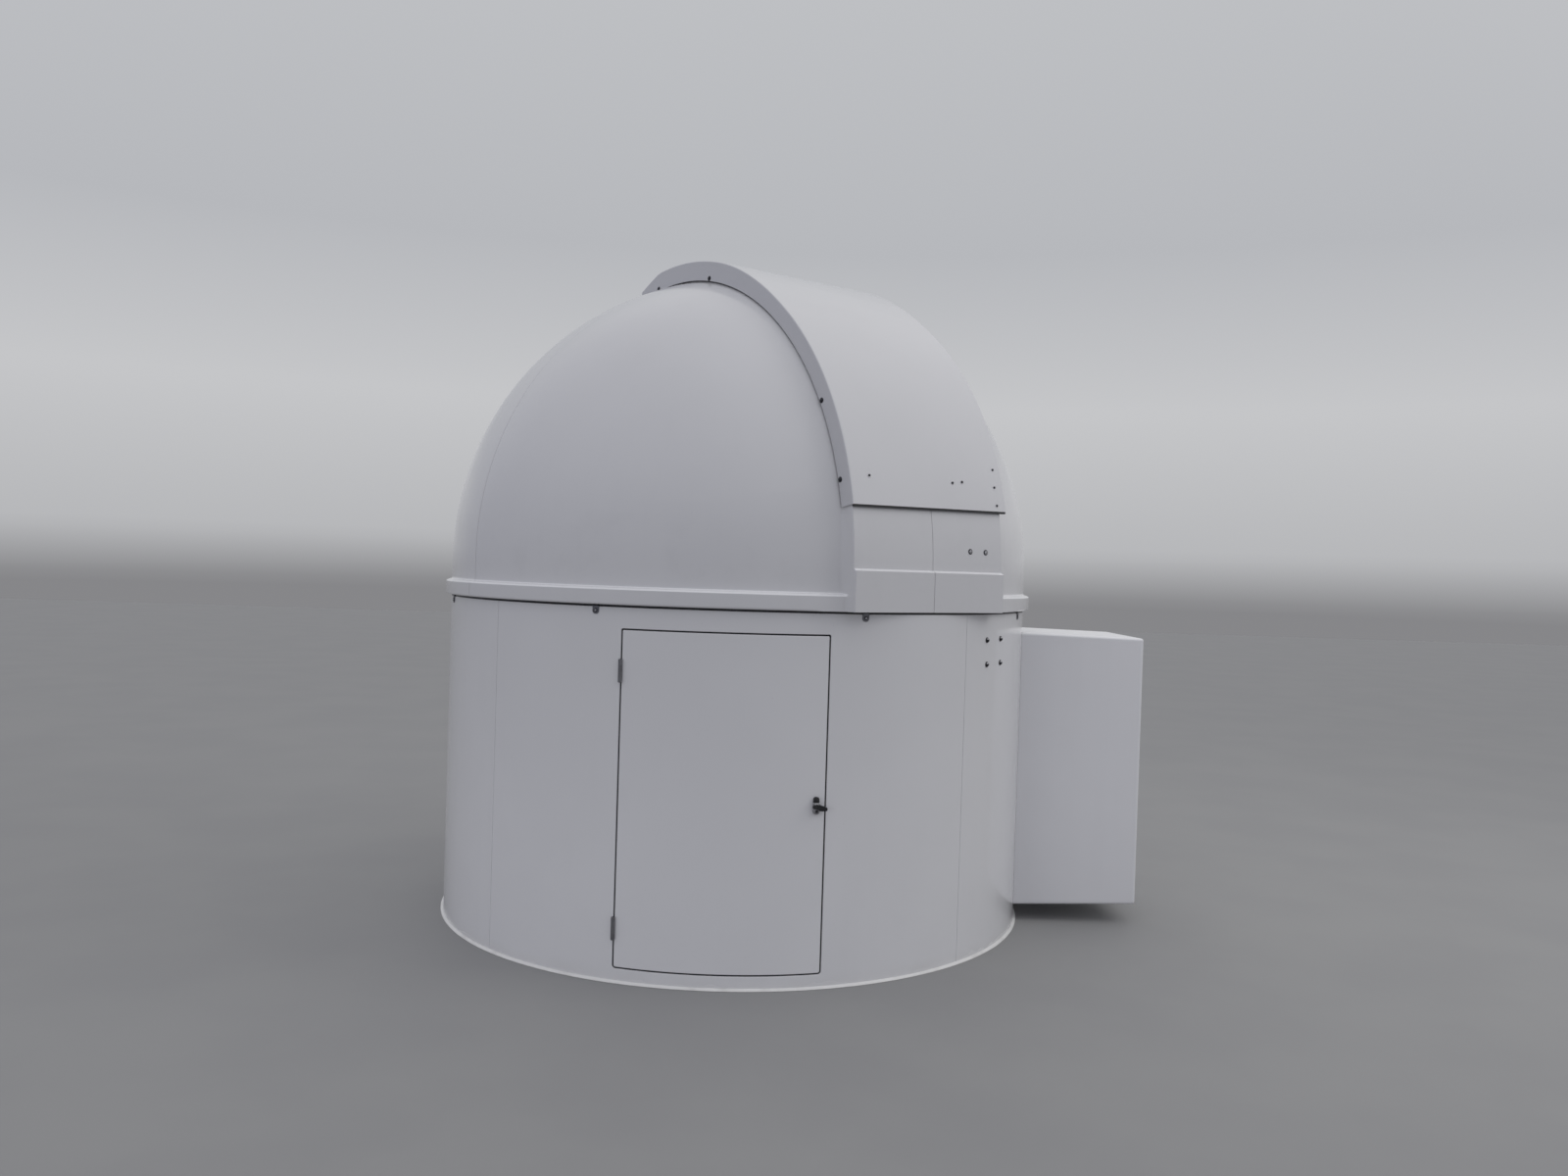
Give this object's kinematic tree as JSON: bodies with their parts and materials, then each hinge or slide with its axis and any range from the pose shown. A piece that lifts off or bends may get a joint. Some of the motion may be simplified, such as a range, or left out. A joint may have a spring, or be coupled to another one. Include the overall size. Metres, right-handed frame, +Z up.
{
  "type": "observatory dome",
  "caption": "Round walk-in observatory with a rotating dome, an up-and-over slit shutter, a hinged curved door and a raised side bay.",
  "frame": {"origin": "centre of the bounding box on the floor; the dome turns about the vertical line at x = -0.248 m", "axes": "+Z up, -Y towards the door at the front, +X towards the raised bay"},
  "size_m": [3.184, 2.688, 2.916],
  "materials": {
    "gelcoat": "glossy white gelcoat on glass fibre",
    "steel": "satin stainless steel",
    "sealant": "white silicone sealant",
    "black_plastic": "black moulded plastic"
  },
  "bodies": {
    "walls": {"front_wall_left": "gelcoat", "front_wall_right": "gelcoat", "front_wall_lintel": "gelcoat", "front_wall_sill": "gelcoat", "left_wall": "gelcoat", "rear_wall": "gelcoat", "right_wall_front": "gelcoat", "right_wall_rear": "gelcoat", "right_wall_over_bay": "gelcoat", "right_wall_under_bay": "gelcoat", "bay_shell": "gelcoat", "wall_head_ring": "gelcoat", "wall_foot_ring": "gelcoat", "base_seal": "sealant", "hold_down_clip_1": "steel", "hold_down_clip_2": "steel", "hold_down_clip_3": "steel", "hold_down_clip_4": "steel", "hold_down_clip_5": "steel", "hold_down_clip_6": "steel", "hold_down_clip_7": "steel", "hold_down_clip_8": "steel", "hinge_lower_wall_leaf": "steel", "hinge_upper_wall_leaf": "steel"},
    "door": {"door_panel": "gelcoat", "hinge_lower_door_leaf": "steel", "hinge_upper_door_leaf": "steel", "handle_body": "steel"},
    "latch": {"latch_lever": "black_plastic"},
    "dome": {"dome_front_left": "gelcoat", "dome_front_right": "gelcoat", "dome_rear_left": "gelcoat", "dome_rear_right": "gelcoat", "skirt_front_left": "gelcoat", "skirt_front_right": "gelcoat", "skirt_rear_left": "gelcoat", "skirt_rear_right": "gelcoat", "track_ring": "gelcoat", "slit_panel_left": "gelcoat", "slit_panel_right": "gelcoat", "slit_upstand_left": "gelcoat", "slit_upstand_right": "gelcoat", "slit_rear_lip": "gelcoat"},
    "shutter": {"shutter_top": "gelcoat", "shutter_skirt_left": "gelcoat", "shutter_skirt_right": "gelcoat", "shutter_rear_lip": "gelcoat"}
  },
  "joints": [
    {"name": "dome_rotation", "type": "hinge", "parent": "walls", "child": "dome", "pos_m": [-0.248, 0, 1.452], "axis": [0, 0, 1], "continuous": true},
    {"name": "shutter_slide", "type": "hinge", "parent": "dome", "child": "shutter", "pos_m": [-0.248, 0, 1.569], "axis": [-0.809, -0.5878, 0], "range_deg": [0, 80]},
    {"name": "door_hinge", "type": "hinge", "parent": "walls", "child": "door", "pos_m": [-0.65175, -1.26514, 0.683], "axis": [0, 0, -1], "range_deg": [0, 120]},
    {"name": "latch_turn", "type": "hinge", "parent": "door", "child": "latch", "pos_m": [0.08919, -1.27621, 0.683], "axis": [0.2555, -0.9668, 0], "range_deg": [0, 90]}
  ]
}
